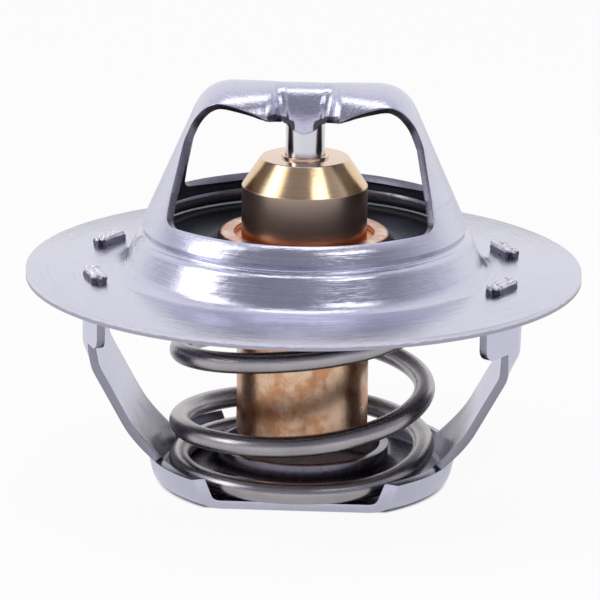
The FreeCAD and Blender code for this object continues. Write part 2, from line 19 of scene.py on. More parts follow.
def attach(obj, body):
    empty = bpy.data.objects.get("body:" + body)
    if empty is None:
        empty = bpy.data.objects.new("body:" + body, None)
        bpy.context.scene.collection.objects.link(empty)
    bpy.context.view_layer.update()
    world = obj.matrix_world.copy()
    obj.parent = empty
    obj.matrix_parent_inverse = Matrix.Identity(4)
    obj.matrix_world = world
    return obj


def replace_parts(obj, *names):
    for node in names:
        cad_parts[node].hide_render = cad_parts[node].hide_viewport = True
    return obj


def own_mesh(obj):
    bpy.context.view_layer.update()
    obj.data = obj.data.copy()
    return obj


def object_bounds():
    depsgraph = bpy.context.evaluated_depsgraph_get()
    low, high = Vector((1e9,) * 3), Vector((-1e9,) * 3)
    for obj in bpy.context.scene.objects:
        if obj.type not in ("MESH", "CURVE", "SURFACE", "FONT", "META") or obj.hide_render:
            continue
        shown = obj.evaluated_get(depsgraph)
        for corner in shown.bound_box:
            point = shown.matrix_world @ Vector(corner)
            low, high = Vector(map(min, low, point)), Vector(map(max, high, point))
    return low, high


MM = 0.001
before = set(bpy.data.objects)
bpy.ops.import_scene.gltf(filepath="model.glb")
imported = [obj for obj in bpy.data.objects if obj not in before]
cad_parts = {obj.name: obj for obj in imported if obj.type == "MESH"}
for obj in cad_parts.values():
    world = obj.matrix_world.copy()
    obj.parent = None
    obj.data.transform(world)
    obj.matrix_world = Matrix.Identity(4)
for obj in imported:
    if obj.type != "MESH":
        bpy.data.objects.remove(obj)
cad_low, cad_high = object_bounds()
print("CAD nodes:", ", ".join(sorted(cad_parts)))

# %% [markdown]
# ## Outlines
#
# A pressed part is easiest to describe by the line of its skin. `rounded` turns a few corner points into
# a smooth line: a third number at a corner is its radius. `smooth` draws a curve through a few known
# values without swinging past them, as the spring's climb and the bridge's changing section need.

# %% Outlines


def rounded(points, closed=False, steps=6):
    """The points of an outline, with an arc at each corner that has a radius."""
    made = []
    count = len(points)
    for i, point in enumerate(points):
        corner = Vector(point[:2])
        radius = point[2] if len(point) > 2 else 0.0
        at_end = not closed and i in (0, count - 1)
        if radius == 0.0 or at_end:
            made.append(tuple(corner))
            continue
        back = (Vector(points[i - 1][:2]) - corner).normalized()
        ahead = (Vector(points[(i + 1) % count][:2]) - corner).normalized()
        half = back.angle(ahead) / 2
        centre = corner + (back + ahead).normalized() * (radius / math.sin(half))
        start = corner + back * (radius / math.tan(half)) - centre
        turn = math.copysign(math.pi - 2 * half, back.x * ahead.y - back.y * ahead.x)
        for k in range(steps + 1):
            angle = -turn * k / steps
            spoke = Vector((
                start.x * math.cos(angle) - start.y * math.sin(angle),
                start.x * math.sin(angle) + start.y * math.cos(angle),
            ))
            made.append(tuple(centre + spoke))
    return made


def smooth(knots, values, at):
    """A smooth curve through the knots that never swings past its values."""
    knots, values = np.asarray(knots, float), np.asarray(values, float)
    widths = np.diff(knots)
    slopes = np.diff(values) / widths
    tangents = np.zeros(len(knots))
    product = slopes[:-1] * slopes[1:]
    rising = product > 0
    total = np.where(rising, slopes[:-1] + slopes[1:], 1.0)
    tangents[1:-1] = np.where(rising, 2 * product / total, 0.0)
    tangents[0], tangents[-1] = slopes[0], slopes[-1]
    i = np.clip(np.searchsorted(knots, at, side="right") - 1, 0, len(slopes) - 1)
    u = (at - knots[i]) / widths[i]
    return (
        (1 + 2 * u) * (1 - u) ** 2 * values[i]
        + u * (1 - u) ** 2 * widths[i] * tangents[i]
        + u * u * (3 - 2 * u) * values[i + 1]
        - u * u * (1 - u) * widths[i] * tangents[i + 1]
    )


sample = rounded([(0, 0), (1, 0, 0.5), (1, 1)])
print("a rounded corner has", len(sample) - 2, "points")

# %% [markdown]
# ## Meshes
#
# Points in rows, with a face between each four of them, are enough for every sheet here. `mesh_object`
# merges the points that lie on each other, so that patches weld. `spun` turns a closed line about the Z
# axis.

# %% Meshes
WELD = 0.002


def mesh_object(name, points, faces):
    """An object from points in millimetres. Points that lie on each other are merged."""
    mesh = bpy.data.meshes.new(name)
    mesh.from_pydata([Vector(p) * MM for p in points], [], faces)
    work = bmesh.new()
    work.from_mesh(mesh)
    bmesh.ops.remove_doubles(work, verts=work.verts, dist=WELD * MM)
    bmesh.ops.recalc_face_normals(work, faces=work.faces)
    work.to_mesh(mesh)
    work.free()
    made = bpy.data.objects.new(name, mesh)
    bpy.context.scene.collection.objects.link(made)
    return made


def grid_faces(rows, columns, start=0, wrap=False):
    """Four-sided faces between rows of points that all have the same number of columns."""
    faces = []
    for r in range(rows - 1):
        for c in range(columns if wrap else columns - 1):
            d = (c + 1) % columns
            low = start + r * columns
            high = low + columns
            faces.append((low + c, low + d, high + d, high + c))
    return faces


def spun(name, outline, steps):
    """A closed outline of (radius, height) points turned about the Z axis."""
    points = []
    for radius, height in list(outline) + [outline[0]]:
        for k in range(steps):
            angle = 2 * math.pi * k / steps
            points.append((radius * math.cos(angle), radius * math.sin(angle), height))
    return mesh_object(name, points, grid_faces(len(outline) + 1, steps, wrap=True))


print("3 rows of 3 points have", len(grid_faces(3, 3)), "faces between them")

# %% [markdown]
# ## Finishing a mesh
#
# Modifiers give a skin its thickness and take the sharpness off its edges. `baked` works them into the
# mesh, because a piece has to be a plain mesh before it joins the frame.

# %% Finishing a mesh
EDGE_WIDTH = 0.07


def baked(made):
    """The object with its modifiers worked into its mesh."""
    graph = bpy.context.evaluated_depsgraph_get()
    mesh = bpy.data.meshes.new_from_object(made.evaluated_get(graph))
    made.modifiers.clear()
    if made.type == "MESH":
        made.data = mesh
        return made
    name = made.name
    bpy.data.objects.remove(made)
    replaced = bpy.data.objects.new(name, mesh)
    bpy.context.scene.collection.objects.link(replaced)
    return replaced


def face_outwards(made, probe):
    """Turns all faces over when the one nearest the probe point looks down instead of up."""
    mesh = made.data
    nearest = min(mesh.polygons, key=lambda face: (face.center - Vector(probe) * MM).length)
    if nearest.normal.z < 0:
        mesh.flip_normals()


def thickened(made, thickness):
    """Gives a skin its thickness on the inside. The skin, the inside and the cut edges get a slot each."""
    for _ in range(3):
        made.data.materials.append(None)
    solid = made.modifiers.new("thickness", "SOLIDIFY")
    solid.thickness = thickness * MM
    solid.offset = -1.0
    solid.use_even_offset = True
    solid.use_quality_normals = True
    solid.material_offset = 1
    solid.material_offset_rim = 2
    return baked(made)


def broken_edges(made):
    """Takes the sharpness off the edges."""
    bevel = made.modifiers.new("edges", "BEVEL")
    bevel.width = EDGE_WIDTH * MM
    bevel.segments = 2
    bevel.limit_method = "ANGLE"
    bevel.angle_limit = math.radians(55)
    bevel.use_clamp_overlap = True
    return baked(made)


def smooth_shaded(made, sharp=35):
    """Smooth shading that stays crisp where faces meet at more than an angle."""
    made.data.polygons.foreach_set("use_smooth", [True] * len(made.data.polygons))
    made.data.set_sharp_from_angle(angle=math.radians(sharp))
    return made


print("mesh helpers ready")

# %% [markdown]
# ## Node graphs
#
# Geometry Nodes and materials are both graphs of nodes, so one class makes the nodes of either. `Signal`
# wraps a node's output and lets it be used in plain Python sums: `1 - mask` adds the Math nodes that work
# it out.

# %% Node graphs


class Signal:
    """The output of a node, which can be added, multiplied and compared like a number."""

    def __init__(self, graph, socket):
        self.graph = graph
        self.socket = socket

    def maths(self, operation, *others):
        return self.graph.node("ShaderNodeMath", [self, *others], operation=operation)

    def __add__(self, other):
        return self.maths("ADD", other)

    def __sub__(self, other):
        return self.maths("SUBTRACT", other)

    def __rsub__(self, other):
        return (self * -1.0) + other

    def __mul__(self, other):
        return self.maths("MULTIPLY", other)

    def __truediv__(self, other):
        return self.maths("DIVIDE", other)

    def __pow__(self, other):
        return self.maths("POWER", other)

    __radd__ = __add__
    __rmul__ = __mul__

    def above(self, low, high):
        """0 below low, 1 above high and smooth between; turned over when high is the smaller."""
        return self.graph.node(
            "ShaderNodeMapRange", [self, low, high, 0.0, 1.0], interpolation_type="SMOOTHSTEP",
        )

    def near(self, value, width):
        """1 at a value, fading to 0 at a distance from it."""
        return (self - value).maths("ABSOLUTE").above(width, 0.0)


class Nodes:
    """A graph that is built one node at a time."""

    def __init__(self, tree):
        self.tree = tree

    def node(self, kind, inputs, out=0, **settings):
        """Adds a node: first its settings, then its inputs. A list at an input is a row of links."""
        made = self.tree.nodes.new(kind)
        for name, value in settings.items():
            setattr(made, name, value)
        pairs = inputs.items() if isinstance(inputs, dict) else enumerate(inputs)
        for key, value in pairs:
            for part in value if isinstance(value, list) else [value]:
                if isinstance(part, Signal):
                    self.tree.links.new(part.socket, made.inputs[key])
                else:
                    made.inputs[key].default_value = part
        return Signal(self, made.outputs[out]) if len(made.outputs) else None

    def point(self, x, y, z):
        return self.node("ShaderNodeCombineXYZ", [x, y, z])

    def split(self, vector):
        return [self.node("ShaderNodeSeparateXYZ", [vector], out=axis) for axis in "XYZ"]

    def mix(self, share, first, second):
        return self.node("ShaderNodeMix", {0: share, 6: first, 7: second}, out=2, data_type="RGBA")


print("node classes ready")

# %% [markdown]
# ## The upper frame: its dome
#
# Flange, stepped dome, two arms and the folded bridge are one piece of sheet, so they are one skin here.
# The dome is a set of rings from the flange's rim up to the windows' sill, and the line `DOME` gives
# their radius and height. `WINDOW` is the side of a window: how far an arm reaches sideways at each
# height.

# %% Dome
SHEET = 0.70
SLOPE = 0.44
SILL_Z = 5.5
RIM_R = 13.95
JOIN_Z = 12.0
BRIDGE_Z = 17.0
CORNER = 3.6
ARM_COLUMNS = 32
WINDOW_COLUMNS = 64

ROLL_FROM = 4.8
ROLL_IN = 0.30
ROLL_FADE = 3.0

WINDOW = rounded([(12.0, SILL_Z), (7.2, SILL_Z, 2.0), (5.65, 8.0, 4.0), (3.0, JOIN_Z)], steps=8)[1:]


def cone_r(z):
    return RIM_R - SLOPE * (z - SILL_Z)


DOME = rounded([(25.0, 0.0), (16.35, 0.0, 1.7), (15.05, 3.0, 0.9), (14.35, 3.35, 0.3), (cone_r(4.0), 4.0)])
DOME += [(cone_r(z), z) for z in np.linspace(ROLL_FROM, SILL_Z, 6)]


def dome_point(radius, z, angle):
    """A point of the dome's rings. Between the arms the punch has rolled the top edge inwards."""
    near_arm = abs(radius * math.sin(angle)) - WINDOW[0][0]
    raised = max(0.0, (z - ROLL_FROM) / (SILL_Z - ROLL_FROM))
    share = min(1.0, max(0.0, near_arm / ROLL_FADE)) * raised**2
    rolled = radius - ROLL_IN * share
    return (rolled * math.cos(angle), rolled * math.sin(angle), z)


print("the dome is", len(DOME), "rings, the window's side", len(WINDOW), "points")

# %% [markdown]
# ## The upper frame: its arms and bridge
#
# Every cross section from the arm to the middle of the bridge is an arch with a place, a lean, a half
# width and a drop. Those five numbers are known at a few keys, and they glide from key to key. On the
# real part a press folds the bridge's sides down and then nips the sheet round the pin's head, so the
# arch is narrow and deep there.

# %% Arms and bridge


def arch(x, z, lean, half, drop, reach=1.0):
    """The points across one section: a round arch that leans over by an angle."""
    sweep = min(math.pi / 2, 2 * math.atan(drop / half))
    made = []
    for k in range(ARM_COLUMNS + 1):
        angle = sweep * reach * (2 * k / ARM_COLUMNS - 1)
        across = half * math.sin(angle) / math.sin(sweep)
        down = drop * (1 - math.cos(angle)) / (1 - math.cos(sweep))
        made.append((x - math.cos(lean) * down, across, z - math.sin(lean) * down))
    return made


def arm_key(z, half):
    """An arm's section as an arch: the part of the cone's ring that the arm keeps."""
    radius = cone_r(z)
    return (radius, z, 0.0, half, radius - math.sqrt(radius**2 - half**2))


ARM_LEAN = math.atan(SLOPE)
corner_x = cone_r(BRIDGE_Z)
bend_x = corner_x - CORNER * math.tan((math.pi / 2 - ARM_LEAN) / 2)
bend_z = BRIDGE_Z - CORNER
line_z = (JOIN_Z + bend_z + CORNER * math.sin(ARM_LEAN)) / 2
keys = [arm_key(10.5, 3.994), arm_key(JOIN_Z, 3.0), (cone_r(line_z), line_z, ARM_LEAN / 2, 2.7, 0.35)]
for share in (0, 0.33, 0.67, 1.0):
    lean = ARM_LEAN + (math.pi / 2 - ARM_LEAN) * share
    keys.append((
        bend_x + CORNER * math.cos(lean), bend_z + CORNER * math.sin(lean), lean,
        3.1 + 0.5 * share, 0.55 + 0.95 * share,
    ))
CREASED = (
    (4.6, 3.70, 2.10), (3.6, 3.66, 2.65), (3.1, 3.35, 2.85), (2.55, 2.30, 3.15),
    (2.2, 2.22, 3.40), (1.5, 2.50, 3.80), (0.0, 2.62, 4.20),
)
for x, half, drop in CREASED:
    keys.append((x, BRIDGE_Z, math.pi / 2, half, drop))
keys = np.array(keys)
along = np.concatenate([[0.0], np.cumsum(np.hypot(np.diff(keys[:, 0]), np.diff(keys[:, 1])))])
print(len(keys), "keys along", round(float(along[-1]), 1), "mm of sheet, from the arm to the pin")

# %% [markdown]
# ## The upper frame: its torn edge
#
# The nip leaves a tongue in front of the pin, slanting creases beside it and a torn lower edge. A mesh
# built row by row suits that, since each row may be cut short (`EDGE`) or drawn sideways (`pinched`)
# without any sculpting. The rows of one half are then mirrored for the other.

# %% Torn edge
# The torn lower edge: how far the sheet hangs down at a distance from the pin
EDGE = (
    (0.0, 4.20), (0.6, 4.12), (1.2, 3.90), (1.7, 3.60), (2.1, 3.36), (2.4, 3.12), (2.5, 2.84),
    (2.6, 3.16), (2.72, 3.02), (2.9, 3.12), (3.05, 2.84), (3.2, 2.96), (3.4, 2.80), (3.6, 3.0),
)
FOLD_MID = 2.5
FOLD_END = 4.6
FOLD_PULL = 0.20
FOLDED_LENGTH = 4.0
FOLDED_ROWS = 96
PLAIN_STEP = 0.35


def pinched(x, y, z):
    """Draws the folds in towards the pin, so that the creases beside the tongue run down at a slant."""
    depth = BRIDGE_Z - z
    share = min(abs(x) / FOLD_MID, max(0.0, (FOLD_END - abs(x)) / (FOLD_END - FOLD_MID)))
    return (x - math.copysign(FOLD_PULL * depth * share, x), y, z)


half_rows = []
for half, z in WINDOW:
    half_rows.append(arch(*arm_key(z, half)))
folded_from = along[-1] - FOLDED_LENGTH
steps = np.concatenate([
    np.arange(along[1], folded_from, PLAIN_STEP), np.linspace(folded_from, along[-1], FOLDED_ROWS),
])
for step in steps[1:]:
    x, z, lean, half, drop = (float(smooth(along, keys[:, k], step)) for k in range(5))
    hang = float(np.interp(x, [e[0] for e in EDGE], [e[1] for e in EDGE]))
    ragged = 0.04 * math.sin(17 * x) + 0.03 * math.sin(41 * x + 1)
    sweep = min(math.pi / 2, 2 * math.atan(drop / half))
    reach = 1.0
    if x < EDGE[-1][0] and hang + ragged < drop:
        reach = math.acos(max(-1.0, 1 - (hang + ragged) * (1 - math.cos(sweep)) / drop)) / sweep
    row = arch(max(x, 0.0), z, lean, half, drop, min(1.0, reach))
    half_rows.append([pinched(*point) for point in row] if x < FOLD_END else row)
rows = half_rows + [[(-x, y, z) for x, y, z in row] for row in half_rows[-2::-1]]
print("the arms and the bridge are", len(rows), "rows of", ARM_COLUMNS + 1, "points")

# %% [markdown]
# ## The upper frame: one skin
#
# Where an arm grows out of the top ring, the rings' points sit exactly under the arm's own points, so
# that the two parts weld. The skin then gets its thickness on the inside, and its cut edges a slot of
# their own.

# %% Upper frame
foot_angle = math.asin(WINDOW[0][0] / RIM_R)
arm_angles = [math.atan2(y, x) for x, y, _ in half_rows[0]]
gap = np.linspace(foot_angle, math.pi - foot_angle, WINDOW_COLUMNS + 1)[1:-1]
angles = arm_angles + list(gap) + [a + math.pi for a in arm_angles] + [a + math.pi for a in gap]
points = [dome_point(r, z, a) for r, z in DOME for a in angles]
faces = grid_faces(len(DOME), len(angles), wrap=True)
faces += grid_faces(len(rows), ARM_COLUMNS + 1, start=len(points))
for row in rows:
    points += row
upper = mesh_object("upper_frame_form", points, faces)
face_outwards(upper, (22.0, 0.0, 0.0))
upper = smooth_shaded(broken_edges(thickened(upper, SHEET)))
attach(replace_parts(upper, "upper_frame"), "frame")
print(upper.name, "has", len(upper.data.polygons), "faces")

# %% [markdown]
# ## The lower frame: a leg
#
# The base is a dished ring with a raised collar, cut straight on two sides. Its legs start on the dish's
# round wall, flatten as they rise, bend upright and end in wings that are folded in. The two legs were
# folded by hand-set tools and differ: 31 degrees on the right and 22 on the left, as `WINGS` says.
#
# `leg_x` is the whole leg in one formula: for any height and distance from the leg's middle it gives how
# far out the sheet is.

# %% Shape of a leg
LOWER = 0.75
BASE_Z = -19.7
WALL_R = 14.0
WALL_Z = -17.1
LEG_X = 19.7
BEND_Z = -6.7
BEND_R = 2.0
LEG_HALF = 5.35
FLAT_HALF = 3.6
WING_Z = -6.2
WING_BEND = 0.8
FLAT_FROM = -13.6
WING_FROM = -9.0
UNDER = -SHEET
LEG_SLOPE = (LEG_X - WALL_R) / (BEND_Z - WALL_Z)
LEG_LEAN = math.atan(LEG_SLOPE)

# The wings of the right and the left leg: bend, end along Y and how far the tabs' ends were driven outwards
WINGS = {1: (math.radians(31), 8.5, 0.35), -1: (math.radians(22), 8.0, 0.10)}

DISH = rounded([
    (7.10, -16.4), (7.10, BASE_Z, 2.05), (13.40, BASE_Z, 1.2), (WALL_R, WALL_Z),
])


def leg_x(z, y, wing_angle):
    """How far out the leg's outer face is at a height and a distance from its middle."""
    reach = BEND_R * math.tan(LEG_LEAN / 2)
    low, high = BEND_Z - reach * math.cos(LEG_LEAN), BEND_Z + reach
    x = WALL_R + LEG_SLOPE * (z - WALL_Z)
    if z >= high:
        x = LEG_X
    elif z > low:
        x = LEG_X - BEND_R + math.sqrt(BEND_R**2 - (high - z) ** 2)
    root = min(1.0, max(0.0, (FLAT_FROM - z) / (FLAT_FROM - WALL_Z)))
    wing = min(1.0, max(0.0, (z - WING_FROM) / (WING_Z - WING_FROM)))
    ring = WALL_R - math.sqrt(WALL_R**2 - y**2)
    past = abs(y) - FLAT_HALF
    slope = math.tan(wing_angle)
    fold = 0.0
    if past >= WING_BEND:
        fold = past * slope
    elif past > -WING_BEND:
        fold = slope * (past + WING_BEND) ** 2 / (4 * WING_BEND)
    return x - ring * root * root - fold * wing * wing * (3 - 2 * wing)


print("the right leg stands", round(leg_x(UNDER, 0.0, WINGS[1][0]), 2), "mm out under the flange")

# %% [markdown]
# ## The lower frame: the legs' patches
#
# A leg is a tall patch of points between two rounded wings. The wings' rows start on the leg's own edge
# points, so the patches weld to it.

# %% Patches of the legs
LEG_COLUMNS = 24
LEG_ROWS = 34
HEAD_ROWS = 14
WING_COLUMNS = 6
CORNER_COLUMNS = 8
WING_CORNER = 1.2


def leg_patches(wing_angle, wing_end):
    """The skin of one leg and of its two wings, as rows of points."""
    zs = list(np.linspace(WALL_Z, WING_Z, LEG_ROWS)) + list(np.linspace(WING_Z, UNDER, HEAD_ROWS + 1)[1:])
    ys = np.linspace(-LEG_HALF, LEG_HALF, LEG_COLUMNS + 1)
    patches = [[[(leg_x(z, y, wing_angle), y, z) for y in ys] for z in zs]]
    inner = wing_end - WING_CORNER
    columns = list(np.linspace(LEG_HALF, inner, WING_COLUMNS))
    turns = np.linspace(0.2, math.pi / 2, CORNER_COLUMNS)
    columns += [inner + WING_CORNER * math.sin(a) for a in turns]
    for side in (-1, 1):
        patch = []
        for y in columns:
            past = max(0.0, y - inner)
            low = WING_Z + WING_CORNER - math.sqrt(max(0.0, WING_CORNER**2 - past**2))
            heights = np.linspace(low, UNDER, HEAD_ROWS + 1)
            patch.append([(leg_x(z, y, wing_angle), side * y, z) for z in heights])
        patches.append(patch)
    return patches


legs = {turn: leg_patches(wing_angle, wing_end) for turn, (wing_angle, wing_end, _) in WINGS.items()}
print("each leg is", len(legs[1]), "patches, the tall one with", len(legs[1][0]), "rows")

# %% [markdown]
# ## The lower frame: its base
#
# The dish is a set of rings whose points meet the legs' lowest row. Its skin faces outwards and down, so
# the thickness grows to the inside. The straight sides are cut last, by a Boolean with a plain box.

# %% Lower frame
DISH_COLUMNS = 96
BASE_HALF = 10.56
ROOMY = 60 * MM
wall_angles = [math.atan2(y, x) for x, y, _ in legs[1][0][0]]
side_angle = wall_angles[-1]
gap = np.linspace(side_angle, math.pi - side_angle, DISH_COLUMNS + 1)[1:-1]
angles = wall_angles + list(gap) + [a + math.pi for a in wall_angles] + [a + math.pi for a in gap]
points = [(r * math.cos(a), r * math.sin(a), z) for r, z in DISH for a in angles]
faces = grid_faces(len(DISH), len(angles), wrap=True)
for turn, patches in legs.items():
    for patch in patches:
        faces += grid_faces(len(patch), len(patch[0]), start=len(points))
        for row in patch:
            points += [(turn * x, y, z) for x, y, z in row]
lower = mesh_object("lower_frame_form", points, faces)
face_outwards(lower, (10.0, 0.0, BASE_Z))
lower.data.flip_normals()
lower = thickened(lower, LOWER)
print(lower.name, "has", len(lower.data.polygons), "faces")
sides = bpy.data.objects.new("sides", bpy.data.meshes.new("sides"))
bpy.context.scene.collection.objects.link(sides)
work = bmesh.new()
bmesh.ops.create_cube(work, size=1.0, matrix=Matrix.Diagonal((ROOMY, 2 * BASE_HALF * MM, ROOMY, 1.0)))
work.to_mesh(sides.data)
work.free()
trim = lower.modifiers.new("straight sides", "BOOLEAN")
trim.operation = "INTERSECT"
trim.object = sides
trim.solver = "EXACT"
lower = baked(lower)
bpy.data.objects.remove(sides)
lower = smooth_shaded(broken_edges(lower))
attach(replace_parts(lower, "lower_frame"), "frame")
print(lower.name, "has", len(lower.data.polygons), "faces")

# %% [markdown]
# ## Trees of Geometry Nodes
#
# A tree is started with named inputs for its sizes, and it ends by making its instances real and giving
# them their material, which is an input too. `grown` sets a tree's inputs by their identifiers, runs it
# and leaves a plain mesh.

# %% Trees


def tree(name, inputs):
    """A new tree with named inputs: its group, its graph and a signal for each input."""
    group = bpy.data.node_groups.new(name, "GeometryNodeTree")
    sockets = {"Geometry": ("Geometry", None), **inputs, "Material": ("Material", None)}
    for label, (kind, value) in sockets.items():
        socket = group.interface.new_socket(label, in_out="INPUT", socket_type="NodeSocket" + kind)
        if value is not None:
            socket.default_value = value
    group.interface.new_socket("Geometry", in_out="OUTPUT", socket_type="NodeSocketGeometry")
    graph = Nodes(group)
    entry = group.nodes.new("NodeGroupInput")
    return group, graph, {label: Signal(graph, entry.outputs[label]) for label in sockets}


def end_tree(graph, shape, given):
    """Makes the instances real, gives them the tree's material and hands them out."""
    real = graph.node("GeometryNodeRealizeInstances", {"Geometry": shape})
    dressed = graph.node("GeometryNodeSetMaterial", {"Geometry": real, "Material": given["Material"]})
    graph.node("NodeGroupOutput", {"Geometry": dressed})


def grown(made, group, inputs):
    """The object after a tree has worked on it, as a plain mesh."""
    modifier = made.modifiers.new(group.name, "NODES")
    modifier.node_group = group
    for item in group.interface.items_tree:
        if item.item_type == "SOCKET" and item.in_out == "INPUT" and item.name in inputs:
            modifier[item.identifier] = inputs[item.name]
    return baked(made)


print("tree helpers ready")

# %% [markdown]
# ## The staked tabs: their lumps
#
# Each leg's wing ends in two tabs that stick up through the flange and are driven flat with a toothed
# punch. The punch leaves slanting rows of little lumps, rather like a piece of rope. The tree roughens
# the head's block with noise, lays a grid of points on top, puts a slanted lump on each and varies their
# size and turn with a fixed seed, so that each of the four heads comes out different.

# %% Lumps
TAB_Y = 6.4
HEAD_LENGTH = 4.2
HEAD_WIDTH = 1.45
HEAD_TOP = 0.62
ROUGH_SCALE = 1400
ROUGH_PUSH = (0.45 * MM, 0.45 * MM, 0.30 * MM)
LUMP_SMALL = (0.15, 0.30, 0.12)
LUMP_LARGE = (0.27, 0.50, 0.30)
LUMP_TURN_FROM = (-0.3, -0.2, -0.9)
LUMP_TURN_TO = (0.3, 0.2, -0.3)


def lump_tree():
    """A tree that roughens the mesh it is given and joins a grid of small lumps to it."""
    group, graph, given = tree("punched lumps", {
        "Length": ("Float", HEAD_LENGTH * MM),
        "Width": ("Float", HEAD_WIDTH * MM),
        "Height": ("Float", HEAD_TOP * MM),
        "Rows": ("Int", 9),
        "Seed": ("Int", 0),
    })
    finer = graph.node("GeometryNodeSubdivideMesh", {"Mesh": given["Geometry"], "Level": 3})
    grain = graph.node(
        "ShaderNodeTexNoise", {"W": given["Seed"], "Scale": ROUGH_SCALE}, out="Color", noise_dimensions="4D",
    )
    centred = graph.node("ShaderNodeVectorMath", {0: grain, 1: (0.5, 0.5, 0.5)}, operation="SUBTRACT")
    push = graph.node("ShaderNodeVectorMath", {0: centred, 1: ROUGH_PUSH}, operation="MULTIPLY")
    block = graph.node("GeometryNodeSetPosition", {"Geometry": finer, "Offset": push})
    field = graph.node("GeometryNodeMeshGrid", {
        "Size X": given["Length"], "Size Y": given["Width"], "Vertices X": given["Rows"], "Vertices Y": 2,
    })
    lump = graph.node("GeometryNodeMeshUVSphere", {"Segments": 14, "Rings": 8, "Radius": 1.0 * MM})
    size = graph.node(
        "FunctionNodeRandomValue", {0: LUMP_SMALL, 1: LUMP_LARGE, "Seed": given["Seed"]},
        data_type="FLOAT_VECTOR",
    )
    turn = graph.node(
        "FunctionNodeRandomValue", {0: LUMP_TURN_FROM, 1: LUMP_TURN_TO, "Seed": given["Seed"]},
        data_type="FLOAT_VECTOR",
    )
    placed = graph.node("GeometryNodeInstanceOnPoints", {
        "Points": field, "Instance": lump, "Scale": size, "Rotation": turn,
    })
    up = graph.point(0.0, 0.0, given["Height"])
    lifted = graph.node("GeometryNodeTransform", {"Geometry": placed, "Translation": up})
    end_tree(graph, graph.node("GeometryNodeJoinGeometry", {"Geometry": [block, lifted]}), given)
    return group


lumps = lump_tree()
print(lumps.name, "has", len(lumps.nodes), "nodes")

# %% [markdown]
# ## The staked tabs: four heads
#
# A head starts as a block with rounded corners and a softened top. Each one has its own seed, turn and
# lean, read from the photograph, because a punch never lands twice in the same way.

# %% Staked heads
# For each head: which leg, which side of it, its turn and how far it leans away from its place along Y
HEADS = ((1, 1, 26, 0.2), (1, -1, 29, 0.0), (-1, 1, 28, 0.6), (-1, -1, 19, 0.5))
HEAD_CORNER = 0.55
HEAD_RIM = 0.22
INSET_LENGTH = 0.9
INSET_WIDTH = 0.85
SUNK = 0.02


def head_block(name):
    """A block with rounded upright corners and a softened top, standing on the flange."""
    size = Matrix.Diagonal((HEAD_LENGTH * MM, HEAD_WIDTH * MM, HEAD_TOP * MM, 1.0))
    block = bmesh.new()
    bmesh.ops.create_cube(block, size=1.0, matrix=Matrix.Translation((0, 0, HEAD_TOP / 2 * MM)) @ size)
    upright = [edge for edge in block.edges if abs(edge.verts[0].co.z - edge.verts[1].co.z) > 0.1 * MM]
    bmesh.ops.bevel(block, geom=upright, offset=HEAD_CORNER * MM, segments=4, affect="EDGES")
    rims = [edge for edge in block.edges if min(v.co.z for v in edge.verts) > (HEAD_TOP - 0.01) * MM]
    bmesh.ops.bevel(block, geom=rims, offset=HEAD_RIM * MM, segments=3, affect="EDGES", profile=0.5)
    mesh = bpy.data.meshes.new(name)
    block.to_mesh(mesh)
    block.free()
    made = bpy.data.objects.new(name, mesh)
    bpy.context.scene.collection.objects.link(made)
    return made


staked = bpy.data.materials.new("staked steel")
for number, (turn, side, swung, lean) in enumerate(HEADS):
    tab = grown(head_block("staked_tab_" + str(number + 1)), lumps, {
        "Length": (HEAD_LENGTH - INSET_LENGTH) * MM,
        "Width": (HEAD_WIDTH - INSET_WIDTH) * MM,
        "Height": (HEAD_TOP - SUNK) * MM,
        "Seed": number,
        "Material": staked,
    })
    wing_angle, _, shift = WINGS[turn]
    x = leg_x(UNDER, TAB_Y, wing_angle) - LOWER / 2 / math.cos(wing_angle) + shift
    swing = Matrix.Rotation(math.pi / 2 + turn * side * math.radians(swung), 4, "Z")
    place = Matrix.Translation((turn * x * MM, (side * TAB_Y + lean) * MM, 0))
    tab.data.transform(place @ swing)
    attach(smooth_shaded(tab, 50), "frame")
    print(tab.name, "has", len(tab.data.polygons), "faces")

# %% [markdown]
# ## The spring
#
# A compression spring of round wire with closed ends: its first and last turn lie flat, so it stands
# straight. The wire's line is worked out turn by turn: `RISE` says how far up the coils have climbed. A
# second tree sweeps a round section along the line.

# %% Round wire
WIRE_R = 0.95


def wire_tree():
    """A tree that sweeps a round wire along a curve."""
    group, graph, given = tree("round wire", {"Wire radius": ("Float", WIRE_R * MM), "Sides": ("Int", 28)})
    ring = graph.node("GeometryNodeCurvePrimitiveCircle", {
        "Radius": given["Wire radius"], "Resolution": given["Sides"],
    })
    swept = graph.node("GeometryNodeCurveToMesh", {
        "Curve": given["Geometry"], "Profile Curve": ring, "Fill Caps": True,
    })
    end_tree(graph, swept, given)
    return group


round_wire = wire_tree()
print(round_wire.name, "has", len(round_wire.nodes), "nodes")

# %% Spring
COIL_R = 11.10
RISE = (
    (0.30, 0.0), (0.82, 0.005), (1.05, 0.095), (1.50, 0.185), (1.75, 0.24), (2.00, 0.365),
    (2.50, 0.545), (2.75, 0.665), (3.00, 0.765), (3.30, 0.895), (3.65, 0.995), (4.25, 1.0),
)
DISC_UNDER = 1.5
WIRE_POINTS = 380
COIL_LOW = BASE_Z + LOWER + WIRE_R
COIL_HIGH = DISC_UNDER - WIRE_R

